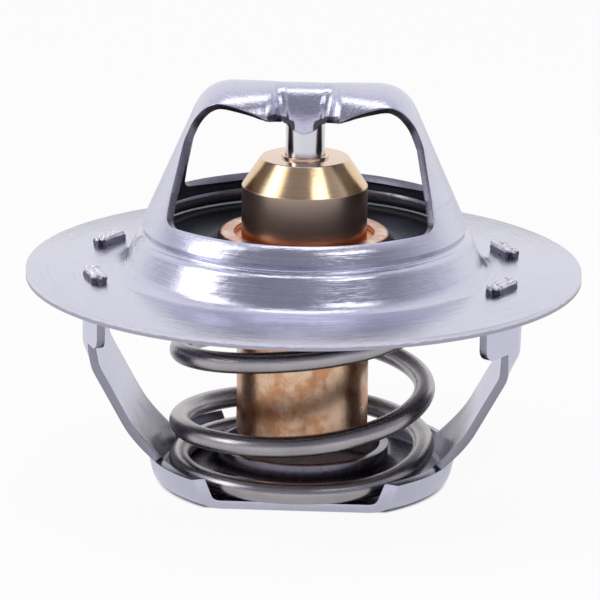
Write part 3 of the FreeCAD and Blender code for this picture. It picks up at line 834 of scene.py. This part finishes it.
line = bpy.data.curves.new("spring_form", "CURVE")
line.dimensions = "3D"
path = line.splines.new("POLY")
turns = np.linspace(RISE[0][0], RISE[-1][0], WIRE_POINTS)
path.points.add(len(turns) - 1)
for point, turn in zip(path.points, turns):
    share = float(smooth([t for t, _ in RISE], [r for _, r in RISE], turn))
    angle = 2 * math.pi * turn
    height = COIL_LOW + (COIL_HIGH - COIL_LOW) * min(1.0, max(0.0, share))
    point.co = (COIL_R * math.cos(angle) * MM, COIL_R * math.sin(angle) * MM, height * MM, 1.0)
spring = bpy.data.objects.new("spring_form", line)
bpy.context.scene.collection.objects.link(spring)
wire = bpy.data.materials.new("spring wire")
spring = grown(spring, round_wire, {"Material": wire})
spring = smooth_shaded(spring, 50)
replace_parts(spring, "spring")
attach(spring, "frame")
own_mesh(spring)
print(spring.name, "has", len(spring.data.polygons), "faces")

# %% [markdown]
# ## Turned and drawn pieces
#
# The rest is round: a closed outline for each piece, spun about the axis. `sheet_outline` lays a sheet's
# thickness under its skin line, with the skin's corners carried over.
#
# The pin is ground rod. The guide is turned brass with a cone, and a low lip where the pin slides
# through. The cup is drawn copper whose mouth is rolled over the guide's flange, which is the pinkish
# ring round the guide. The disc is pressed sheet with a rubber ring on its edge, which closes against the
# inside of the dome.

# %% Outline of a sheet


def sheet_outline(skin, thickness):
    """The closed outline of a sheet that lies on the left of its skin line, or on the right if negative."""
    lines = []
    for a, b in zip(skin, skin[1:]):
        length = math.hypot(b[0] - a[0], b[1] - a[1])
        ux, uz = (b[0] - a[0]) / length, (b[1] - a[1]) / length
        lines.append((a[0] - uz * thickness, a[1] + ux * thickness, ux, uz, length))
    moved = [lines[0][:2]]
    for i in range(1, len(lines)):
        x0, z0, ux, uz, _ = lines[i - 1]
        x1, z1, vx, vz, _ = lines[i]
        turn = ux * vz - uz * vx
        run = ((x1 - x0) * vz - (z1 - z0) * vx) / turn
        radius = skin[i][2] if len(skin[i]) > 2 else 0.0
        inner = max(0.02, radius - thickness * math.copysign(1, turn))
        moved.append((x0 + ux * run, z0 + uz * run, inner))
    x1, z1, vx, vz, length = lines[-1]
    moved.append((x1 + vx * length, z1 + vz * length))
    return rounded(list(skin) + moved[::-1], True)


print("a bent sheet has", len(sheet_outline([(0, 0), (1, 0), (2, 1)], 0.1)), "outline points")

# %% Turned pieces
FINE = 0.06
DISC_SHEET = 0.8
PIN_R = 1.75
PIN = rounded([
    (0, -10.6), (1.0, -10.6, 0.2), (PIN_R, -9.0, 0.4), (PIN_R, 15.25), (1.4, 15.6), (0, 15.6),
], True)
GUIDE = rounded([
    (1.80, 2.75), (1.80, 10.45, FINE), (2.15, 10.45, FINE), (2.15, 10.2, FINE), (3.95, 10.2, 0.12),
    (5.65, 7.6, 0.14), (5.65, 2.85), (7.2, 2.85, FINE), (7.2, 1.95, FINE), (3.0, 1.95), (3.0, 2.75),
], True)
CUP = rounded([
    (6.25, 2.85, 0.1), (6.25, 3.4, 0.18), (7.8, 3.4, 0.6), (7.8, 0.3, 0.35), (5.95, 0.3, 0.3),
    (5.95, -16.3, 1.3), (0, -16.3), (0, -15.75), (5.4, -15.75, 0.75), (5.4, 0.85), (7.25, 0.85), (7.25, 2.85),
], True, 10)
DISC = sheet_outline([(13.6, 2.3), (8.4, 2.3, 0.9), (7.95, 0.3, 0.3), (6.45, 0.3)], DISC_SHEET)
SEAL = rounded([
    (12.9, 2.3), (12.9, 2.6, 0.12), (14.3, 2.6, 0.4), (14.3, 1.2, 0.2), (12.9, 1.2, 0.12), (12.9, 1.5),
    (13.6, 1.5), (13.6, 2.3),
], True)

ROUND = {
    "piston_pin": (PIN, "frame", 96),
    "brass_guide": (GUIDE, "element", 192),
    "wax_cup": (CUP, "element", 192),
    "valve_disc": (DISC, "element", 256),
    "valve_seal": (SEAL, "element", 256),
}
for node, (outline, body, steps) in ROUND.items():
    made = smooth_shaded(spun(node + "_form", outline, steps), 28)
    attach(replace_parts(made, node), body)
    print(made.name, "has", len(made.data.polygons), "faces")

# %% [markdown]
# ## Materials
#
# `Look` starts a material with the place on the piece in millimetres, its distance from the axis and its
# angle round it. All patterns are sums of those, so they stay where they are when a piece moves.

# %% Looks


def rgb(red, green, blue, pale=1.0):
    return (red * pale, green * pale, blue * pale, 1.0)


def emptied(owner):
    """The shader graph of a material or a world, with nothing in it."""
    owner.use_nodes = True
    owner.node_tree.nodes.clear()
    return owner.node_tree


class Look(Nodes):
    """One procedural material, with the place on the piece in millimetres."""

    def __init__(self, name):
        self.material = bpy.data.materials.get(name) or bpy.data.materials.new(name)
        super().__init__(emptied(self.material))
        place = self.node("ShaderNodeTexCoord", [], out="Object")
        self.place = self.node("ShaderNodeVectorMath", [place, (1 / MM,) * 3], operation="MULTIPLY")
        self.x, self.y, self.z = self.split(self.place)
        self.r = (self.x * self.x + self.y * self.y) ** 0.5
        self.angle = self.y.maths("ARCTAN2", self.x)

    def noise(self, place, scale, detail, rough):
        return self.node(
            "ShaderNodeTexNoise", {"Vector": place, "Scale": scale, "Detail": detail, "Roughness": rough},
        )

    def stretched(self, radius, angle, z, detail, rough=0.5):
        """Noise that is stretched along the rings or the streaks of a piece."""
        return self.noise(self.point(self.r * radius, self.angle * angle, self.z * z), 1.0, detail, rough)

    def flecks(self, scale, low, high):
        """Small spots: 1 in the middle of some cells and 0 elsewhere."""
        return self.node(
            "ShaderNodeTexVoronoi", {"Vector": self.place, "Scale": scale}, out="Distance",
        ).above(high, low)

    def finish(self, colour, roughness, metallic, height, strength, distance):
        bump = {"Strength": strength, "Distance": distance * MM, "Height": height}
        surface = self.node("ShaderNodeBsdfPrincipled", {
            "Base Color": colour, "Roughness": roughness, "Metallic": metallic,
            "Normal": self.node("ShaderNodeBump", bump, out="Normal"),
        }, out="BSDF")
        self.node("ShaderNodeOutputMaterial", {"Surface": surface})
        return self.material


print("looks ready")

# %% [markdown]
# ## Satin sheet
#
# The frames are satin stainless sheet. Drawing the dome leaves faint rings, seen as long streaks round
# the axis, and on the legs the streaks run up and down. The streaks come from noise whose place is
# stretched: a point made of radius, angle and height changes fast across the rings and slowly along them.
#
# The dome has marks of its own: two dark press marks where it meets the flange, drawn bands and a slight
# wobble, painted shade along the creases and tears beside the tongue, and a darker patch at its left foot.
# Its inside is a darker copy of the sheet, as painted shade, and the legs' inside gets painted shade at the
# roots.

# %% Marks on the dome


def press_mark(look, x, y, length, width):
    """A leaf-shaped mark that the press left where the dome meets the flange, long along the foot."""
    along = (look.x - x) * -y + (look.y - y) * x
    across = (look.x - x) * x + (look.y - y) * y
    reach = math.hypot(x, y)
    leaf = (along / (reach * length)) ** 2.0 + (across / (reach * width)) ** 2.0
    return leaf.above(1.0, 0.35)


def pressed(look, colour, height):
    """The two press marks, darker than the sheet and sunk a little."""
    dents = press_mark(look, -16.0, 3.6, 1.5, 0.45) + press_mark(look, 16.25, 1.2, 1.4, 0.42)
    dents = dents * look.z.above(-0.2, 0.0) * look.z.above(3.0, 2.0)
    return look.mix(dents * 0.75, colour, rgb(0.16, 0.15, 0.22)), height - dents * 1.5


def banded(look, colour, height, pale):
    """Drawn bands round the dome, and a wobble below the arms that bends its highlights."""
    bands = look.stretched(3.2, 2.2, 3.2, 5, 0.65)
    wobble = look.stretched(1.4, 10, 1.4, 2)
    colour = look.mix(bands.above(0.56, 0.72) * 0.30, colour, rgb(0.34, 0.33, 0.41, pale))
    return colour, height + bands * 1.3 + wobble * look.z.above(9.0, 6.0) * 2.4


def crease_shade(look, colour):
    """Painted shade: a near-black slanting line on each side of the tongue, where the creases and tears fall
    in shadow.
    """
    aside = look.x.maths("ABSOLUTE")
    ragged = look.noise(look.place, 2.2, 3, 0.6) - 0.5
    line = (look.z - aside * 0.42 + ragged * 0.6).near(13.15, 0.75)
    beside = aside.above(0.7, 1.0) * aside.above(3.6, 2.6)
    # painted shade in the creases and tears beside the tongue, near black
    return look.mix((line * beside).above(0.15, 0.45) * 0.92, colour, rgb(0.045, 0.032, 0.04))


def darkened_foot(look, colour):
    """A darker patch at the dome's left foot."""
    middle = (-14.6, -2.6, 2.0)
    far = look.node("ShaderNodeVectorMath", [look.place, middle], out="Value", operation="DISTANCE")
    dark_patch = far.above(3.0, 0.6) * look.noise(look.place, 0.9, 5, 0.7).above(0.44, 0.60)
    # darkens a patch at the dome's left foot
    return look.mix(dark_patch * 0.6, colour, rgb(0.20, 0.19, 0.24))


print("marks on the dome ready")

# %% Satin sheet


def sheet_steel(name, ringed, pale=1.0, root_shade=0.0):
    """Satin sheet with rings or upright streaks. A pale below 1 makes a darker copy: painted shade on the
    insides, and on the legs' cut edges partly their grey sheared face and partly painted shade. The legs'
    roots may get painted shade on the inside, low down where they meet the dish.
    """
    look = Look(name)
    if ringed:
        fine = look.stretched(9, 1.2, 9, 4, 0.6)
        broad = look.stretched(1.5, 2.5, 1.5, 3)
    else:
        fine = look.noise(look.point(look.x * 3, look.y * 5, look.z * 0.8), 1.0, 4, 0.6)
        broad = look.noise(look.place, 0.35, 3, 0.5)
    cloudy = look.noise(look.place, 0.22, 4, 0.6)
    pits = look.flecks(1.6, 0.06, 0.16)
    marks = look.noise(look.place, 1.1, 5, 0.7).above(0.60, 0.72)
    shade = (fine - 0.5) * 0.34 + (cloudy - 0.5) * 0.25 + 0.5
    colour = look.mix(shade, rgb(0.485, 0.48, 0.58, pale), rgb(0.775, 0.77, 0.90, pale))
    colour = look.mix(pits * 0.25 + marks * 0.12, colour, rgb(0.30, 0.29, 0.36, pale))
    height = fine * 0.5 + broad - pits * 0.4
    if ringed and pale == 1.0:
        colour, height = pressed(look, colour, height)
    if ringed:
        colour, height = banded(look, colour, height, pale)
        # painted shade beside the tongue, then a darker patch at the dome's left foot
        colour = darkened_foot(look, crease_shade(look, colour))
    # painted shade low on the legs' inside, where they bend into the dish
    if root_shade:
        low = (look.z + (broad - 0.5) * 3.0).above(-11.5, -15.5) * root_shade
        colour = look.mix(low, colour, rgb(0.13, 0.12, 0.15))
    rough = 0.24 + (fine - 0.5) * 0.24 + (cloudy - 0.5) * 0.14
    return look.finish(colour, rough, 1.0, height, 0.26, 0.06)


def sheared_steel():
    """The cut edges: grey and grainy where the punch broke the sheet through, and at the windows darkened
    further as painted shade; pale on the flange's rim.
    """
    look = Look("sheared edge")
    grain = look.noise(look.point(look.angle * 30, look.r * 4, look.z * 6), 1.0, 4, 0.65)
    window = look.z.above(0.4, 1.4)
    # window edges: grey sheared grain, darkened far down as painted shade
    dark = look.mix(grain, rgb(0.10, 0.10, 0.13), rgb(0.28, 0.27, 0.33))
    rim = look.mix(grain, rgb(0.62, 0.61, 0.70), rgb(0.95, 0.94, 1.0))
    lower = (look.z + (grain - 0.5) * 0.3).above(-0.28, -0.46) * 0.75
    rim = look.mix(lower, rim, rgb(0.30, 0.29, 0.37))
    return look.finish(look.mix(window, rim, dark), 0.36, 1.0, grain, 0.4, 0.06)


dome_steel = [
    sheet_steel("dome sheet", True),
    # the dome's inside: the same sheet at 0.42, a darker copy that is painted shade
    sheet_steel("inside of the dome", True, 0.42),
    sheared_steel(),
]
leg_steel = [
    sheet_steel("leg sheet", False),
    # the legs' inside: painted shade low down at the roots
    sheet_steel("inside of the legs", False, 0.95, 0.85),
    # the legs' cut edges: a darker copy, partly the grey sheared face and partly painted shade
    sheet_steel("cut edges of the legs", False, 0.50),
]
print("sheet:", ", ".join(steel.name for steel in dome_steel + leg_steel))

# %% [markdown]
# ## Other steel
#
# The pin is ground bright, the spring's wire is drawn and dull, and the disc is nearly black. The staked
# heads are lighter on top and darker down their sides.

# %% Other steel


def pin_steel():
    look = Look("ground steel")
    fine = look.noise(look.point(look.x * 3, look.y * 3, look.z * 30), 1.0, 2, 0.5)
    return look.finish(rgb(0.74, 0.74, 0.78), 0.14 + fine * 0.08, 1.0, fine, 0.06, 0.02)


def wire_steel():
    look = Look("spring wire")
    drawn = look.stretched(12, 2, 12, 4, 0.6)
    cloudy = look.noise(look.place, 0.3, 3, 0.5)
    colour = look.mix(cloudy, rgb(0.30, 0.28, 0.29), rgb(0.56, 0.535, 0.545))
    return look.finish(colour, 0.27 + (drawn - 0.5) * 0.2, 1.0, drawn, 0.25, 0.05)


def dark_steel():
    look = Look("dark disc steel")
    ringed = look.stretched(5, 1.5, 5, 3)
    specks = look.flecks(1.3, 0.04, 0.10)
    colour = look.mix(ringed, rgb(0.028, 0.030, 0.044), rgb(0.085, 0.088, 0.12))
    colour = look.mix(specks, colour, rgb(0.7, 0.7, 0.75))
    return look.finish(colour, 0.38, 1.0, ringed, 0.2, 0.05)


def staked_steel():
    look = Look("staked steel")
    grain = look.noise(look.place, 3.2, 4, 0.6)
    colour = look.mix(grain, rgb(0.55, 0.54, 0.58), rgb(0.95, 0.95, 1.0))
    # lighter on top, darker down the sides
    sides = look.z.above(0.60, 0.42)
    colour = look.mix(sides * 0.85, colour, rgb(0.10, 0.095, 0.14))
    return look.finish(colour, 0.30 + sides * 0.2, 1.0, grain, 0.5, 0.12)


print("trees' materials:", wire_steel().name, "and", staked_steel().name)

# %% [markdown]
# ## Brass, copper, rubber and wax
#
# The guide's cone is freshly turned and mirrors the lamps as two pale bands. Its cylinder has gone brown,
# and its foot has a painted orange reflection of the copper round it. The cup is blotched and streaked by
# drawing and heat, and its rolled lip has pale spots. The hidden pieces get plain looks, for anyone who
# takes the model apart.

# %% Brass and copper


def guide_brass():
    look = Look("turned brass")
    lines = look.stretched(14, 0.4, 14, 3)
    dull = look.z.above(7.75, 7.55)
    low = look.z.above(4.6, 3.0)
    top = look.z.above(10.0, 10.15)
    colour = look.mix(lines, rgb(0.68, 0.47, 0.27), rgb(0.88, 0.66, 0.42))
    colour = look.mix(dull * 0.9, colour, rgb(0.60, 0.46, 0.37))
    # painted reflection: the cylinder's foot tinted orange by the copper round it
    colour = look.mix(low * dull * 0.7, colour, rgb(0.85, 0.35, 0.12))
    colour = look.mix(top * 0.7, colour, rgb(0.80, 0.62, 0.52))
    return look.finish(colour, 0.20 + (lines - 0.5) * 0.14 + dull * 0.16, 1.0, lines, 0.12, 0.03)


def cup_copper():
    look = Look("drawn copper")
    blotch = look.noise(look.place, 0.45, 5, 0.65)
    drawn = look.noise(look.point(look.angle * 7, 0.0, look.z * 0.35), 1.0, 4, 0.6)
    spots = look.flecks(1.8, 0.05, 0.14)
    lip = look.z.above(2.9, 3.1)
    pinkish = look.mix(blotch.above(0.45, 0.6), rgb(0.72, 0.42, 0.32), rgb(0.88, 0.66, 0.56))
    colour = look.mix(blotch.above(0.40, 0.62), rgb(0.65, 0.33, 0.17), rgb(0.86, 0.60, 0.42))
    colour = look.mix(drawn.above(0.5, 0.7) * 0.5, colour, rgb(0.42, 0.22, 0.13))
    colour = look.mix(lip, colour, pinkish)
    colour = look.mix(spots * lip * 0.7, colour, rgb(1.0, 0.93, 0.88))
    return look.finish(colour, 0.30 + (drawn - 0.5) * 0.2, 1.0, blotch + drawn * 0.6, 0.22, 0.08)


def plain(name, colour, roughness):
    look = Look(name)
    mottle = look.noise(look.place, 2.0, 4, 0.6)
    dark = tuple(0.75 * c for c in colour[:3]) + (1.0,)
    return look.finish(look.mix(mottle, dark, colour), roughness, 0.0, mottle, 0.15, 0.05)


print("brass, copper and plain looks ready")

# %% Each piece gets its look
LOOKS = {
    "upper_frame_form": dome_steel,
    "lower_frame_form": leg_steel,
    "piston_pin_form": [pin_steel()],
    "valve_disc_form": [dark_steel()],
    "valve_seal_form": [plain("moulded rubber", rgb(0.03, 0.03, 0.035), 0.6)],
    "brass_guide_form": [guide_brass()],
    "wax_cup_form": [cup_copper()],
    "rubber_sleeve": [plain("sleeve rubber", rgb(0.04, 0.04, 0.04), 0.55)],
    "wax_charge": [plain("wax with copper powder", rgb(0.52, 0.34, 0.20), 0.5)],
    "backup_washer": [plain("pale plastic", rgb(0.85, 0.84, 0.80), 0.4)],
}
for name, looks in LOOKS.items():
    mesh = bpy.data.objects[name].data
    if len(looks) == 1:
        mesh.materials.clear()
    while len(mesh.materials) < len(looks):
        mesh.materials.append(None)
    for slot, material in enumerate(looks):
        mesh.materials[slot] = material
print(len(LOOKS), "pieces have their looks, besides the spring and the staked heads")

# %% [markdown]
# ## Size
#
# The dressed model's box is compared with the imported one's, to see that it stays inside.

# %% Size
scene = bpy.context.scene
low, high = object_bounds()
inside = all(low[i] > cad_low[i] - MM and high[i] < cad_high[i] + MM for i in range(3))
print("visual model inside the CAD box:", inside)

# %% [markdown]
# ## Floor and room
#
# The photograph has a blank white ground, so the floor and the world show plain white to the camera, and
# only a faint shadow is left on the floor. Metal shows the same white behind the object. It shows little
# of itself and much of its room, so the room matters: pale walls, a darker front where the photographer
# would stand and darker strips at the sides.

# %% Floor
FLOOR_Z = BASE_Z - 0.02
FLOOR_HALF = 400


def floor_paint(name, brightness):
    """Nearly blank white to the camera and to mirrors, and a plain shaded table right under the base."""
    look = Look(name)
    beside = look.y.maths("ABSOLUTE").above(BASE_HALF - 0.6, BASE_HALF)
    outside = beside.maths("MAXIMUM", look.r.above(WALL_R - 1.2, WALL_R - 0.6))
    seen = look.node("ShaderNodeLightPath", [], out="Is Camera Ray") * 0.93
    seen = seen + look.node("ShaderNodeLightPath", [], out="Is Glossy Ray") * 0.5
    seen = seen + look.node("ShaderNodeLightPath", [], out="Is Transmission Ray") * 0.5
    seen = seen * outside
    table = look.node("ShaderNodeBsdfDiffuse", {"Color": rgb(1, 1, 1, brightness)}, out="BSDF")
    blank = look.node("ShaderNodeEmission", {"Color": rgb(1, 1, 1), "Strength": 1.0}, out="Emission")
    both = look.node("ShaderNodeMixShader", [seen, table, blank], out="Shader")
    look.node("ShaderNodeOutputMaterial", {"Surface": both})
    return look.material


corners = [(-1, -1), (1, -1), (1, 1), (-1, 1)]
floor = mesh_object("floor", [(x * FLOOR_HALF, y * FLOOR_HALF, FLOOR_Z) for x, y in corners], [(0, 1, 2, 3)])
floor.data.materials.append(floor_paint("white table", 0.92))
print("floor at", round(FLOOR_Z, 2), "mm")

# %% Room
scene.world = bpy.data.worlds.new("studio")
room = Nodes(emptied(scene.world))
towards = room.node("ShaderNodeTexCoord", [], out="Generated")
to_x, to_y, to_z = room.split(towards)
front = (to_y * -1).above(-0.55, 0.45) * to_z.above(0.06, 0.32)
sides = to_x.maths("ABSOLUTE").above(0.70, 0.95) * to_z.near(0.05, 0.45) * 0.6
walls = room.mix(sides, rgb(0.88, 0.88, 0.98), rgb(0.26, 0.25, 0.31))
walls = room.mix(front, walls, rgb(0.27, 0.265, 0.315))
behind = to_y.above(0.2, 0.7)
seen = room.node("ShaderNodeLightPath", [], out="Is Camera Ray")
seen = seen + room.node("ShaderNodeLightPath", [], out="Is Glossy Ray") * behind
seen = seen + room.node("ShaderNodeLightPath", [], out="Is Transmission Ray")
shown = room.mix(seen, walls, rgb(0.98, 0.98, 0.98))
light = room.node("ShaderNodeBackground", {"Color": shown}, out="Background")
room.node("ShaderNodeOutputWorld", {"Surface": light})
print("the room has", len(room.tree.nodes), "nodes")

# %% [markdown]
# ## Lamps
#
# A tall soft box on the left with a brighter core draws the broad highlights, a smaller one on the right
# answers it, and one overhead draws the thin bright lines. They are plain in strength, so that a colour
# renders about as it is written.

# %% Lamps


def soft_box(name, place, size, brightness):
    """A rectangular soft light at a place in millimetres, aimed at the origin."""
    data = bpy.data.lights.new(name, "AREA")
    data.shape = "RECTANGLE"
    data.size, data.size_y = size[0] * MM, size[1] * MM
    data.energy = brightness * math.pi * data.size * data.size_y
    lamp = bpy.data.objects.new(name, data)
    scene.collection.objects.link(lamp)
    lamp.location = Vector(place) * MM
    lamp.rotation_euler = (Vector((0, 0, 0)) - Vector(place)).to_track_quat("-Z", "Y").to_euler()
    return lamp


boxes = [
    soft_box("left box", (-165, -54, 120), (105, 175), 1.4),
    soft_box("left core", (-165, -54, 110), (60, 120), 1.6),
    soft_box("right box", (96, -118, 165), (95, 50), 3.0),
    soft_box("top box", (0, -16, 230), (150, 50), 2.2),
]
print(len(boxes), "soft boxes")

# %% [markdown]
# ## Camera
#
# A long lens from a little above, with the turn, roll and shift that lay the flange's ellipse over the
# photo's. `SCALE` says how many points of the picture a millimetre takes up beside the object.

# %% Camera
ELEVATION = math.radians(15.60)
TURN = math.radians(3.1)
ROLL = math.radians(0.70)
DISTANCE = 450.0
SCALE = 11.104
SHIFT_RIGHT = -0.30
SHIFT_UP = -3.02
PICTURE = 600
SENSOR = 36.0
right = Vector((math.cos(TURN), math.sin(TURN), 0))
ahead = Vector((
    -math.sin(TURN) * math.cos(ELEVATION), math.cos(TURN) * math.cos(ELEVATION), -math.sin(ELEVATION),
))
up = right.cross(ahead)
spot = -DISTANCE * ahead + SHIFT_RIGHT * right + SHIFT_UP * up
tilted_right = right * math.cos(ROLL) + up * math.sin(ROLL)
tilted_up = up * math.cos(ROLL) - right * math.sin(ROLL)
data = bpy.data.cameras.new("camera")
data.sensor_width = SENSOR
data.lens = SCALE * DISTANCE / PICTURE * SENSOR
data.clip_start, data.clip_end = 0.01, 10.0
camera = bpy.data.objects.new("camera", data)
scene.collection.objects.link(camera)
turned = Matrix((tilted_right, tilted_up, -ahead)).transposed()
camera.matrix_world = Matrix.Translation(spot * MM) @ turned.to_4x4()
scene.camera = camera
scene.view_settings.view_transform = "Standard"
scene.cycles.use_denoising = True
print("camera at", [round(c, 3) for c in camera.location])
